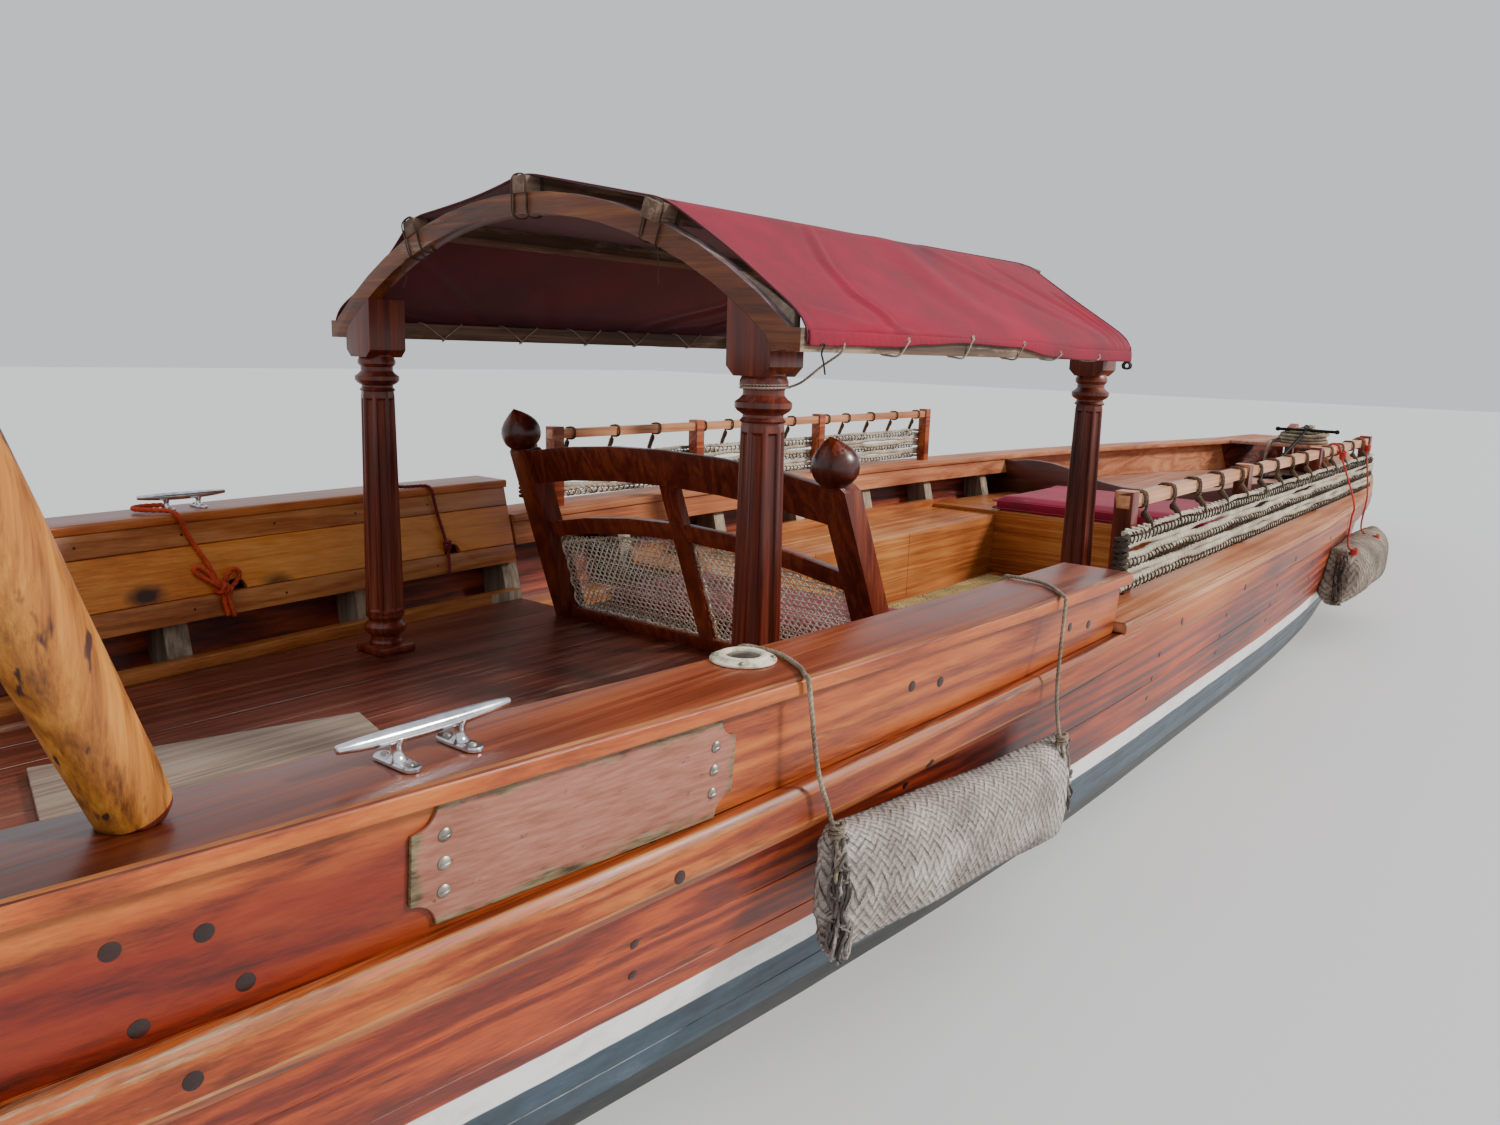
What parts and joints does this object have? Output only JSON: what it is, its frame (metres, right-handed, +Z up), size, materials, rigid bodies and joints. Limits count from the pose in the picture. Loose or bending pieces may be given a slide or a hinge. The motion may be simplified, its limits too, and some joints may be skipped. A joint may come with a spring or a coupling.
{
  "type": "dhow sailing boat",
  "caption": "Open wooden dhow with raised stern bulwarks, an arched cloth canopy, helm bench, side benches, rope-netted rails, a pole rest and a hung rudder with tiller.",
  "frame": {"origin": "amidships on the centreline, in the plane of the water the boat floats in", "axes": "+X towards the bow, +Y to port, +Z up"},
  "size_m": [13.0538, 2.8554, 2.7643],
  "materials": {
    "topside_wood": "oiled, with a painted white stripe, blue-grey band and black bottom",
    "board_wood": "oiled, worn",
    "cap_wood": "oiled, worn and bleached",
    "wale_wood": "oiled, rubbed",
    "deck_wood": "dark varnish, scuffed",
    "frame_wood": "bare and weathered",
    "bench_wood": "oiled",
    "dark_wood": "dark gloss varnish",
    "roof_wood": "weathered varnish",
    "pole_wood": "peeled round timber, cracked",
    "canvas": "woven cloth, sun-faded",
    "cushion_cloth": "woven cloth",
    "rope": "weathered plant fibre",
    "palm_weave": "plaited palm leaf, weathered",
    "straw": "plaited cane and rush",
    "plate_paint": "faded paint, grey at the edges, blank",
    "keel_paint": "black bottom paint",
    "anchor_iron": "galvanised, dulled",
    "cleat_alloy": "polished",
    "pipe_plastic": "moulded"
  },
  "bodies": {
    "hull": {"planking_port": "topside_wood", "planking_starboard": "topside_wood", "transom": "topside_wood", "sternpost": "topside_wood", "bulwark_board_port": "board_wood", "bulwark_board_starboard": "board_wood", "bulwark_lining_port": "board_wood", "bulwark_lining_starboard": "board_wood", "gunwale_cap_port": "board_wood", "gunwale_cap_starboard": "board_wood", "bulwark_cap_port": "cap_wood", "bulwark_cap_starboard": "cap_wood", "stem": "cap_wood", "wale_port": "wale_wood", "wale_starboard": "wale_wood", "aft_deck": "deck_wood", "aft_bulkhead": "deck_wood", "forward_seat": "deck_wood", "helm_seat": "deck_wood", "frames_port": "frame_wood", "frames_starboard": "frame_wood", "sole": "bench_wood", "bow_platform": "bench_wood", "side_bench_port": "bench_wood", "side_bench_starboard": "bench_wood", "foredeck": "bench_wood", "rail_port": "bench_wood", "rail_starboard": "bench_wood", "post_aft_port": "dark_wood", "post_aft_starboard": "dark_wood", "post_forward_port": "dark_wood", "post_forward_starboard": "dark_wood", "helm_bench_frame": "dark_wood", "seat_back": "dark_wood", "canopy_frame": "roof_wood", "pole_port": "pole_wood", "pole_starboard": "pole_wood", "pole_bar": "pole_wood", "canopy_canvas": "canvas", "helm_cushion": "cushion_cloth", "forward_cushion": "cushion_cloth", "net_port": "rope", "net_starboard": "rope", "fender_rope_aft": "rope", "fender_rope_middle": "rope", "anchor_rope": "rope", "fender_aft": "palm_weave", "fender_forward": "palm_weave", "rush_mat": "straw", "cane_panel_port": "straw", "cane_panel_starboard": "straw", "name_plate": "plate_paint", "keel": "keel_paint", "anchor": "anchor_iron", "cleat_port": "cleat_alloy", "cleat_starboard": "cleat_alloy", "deck_pipe": "pipe_plastic"},
    "steering": {"rudder": "topside_wood", "tiller": "roof_wood"}
  },
  "joints": [
    {"name": "rudder_hinge", "type": "hinge", "parent": "hull", "child": "steering", "pos_m": [-6.372, 0, 0], "axis": [-0.1392, 0, 0.9903], "range_deg": [-35, 35]}
  ]
}
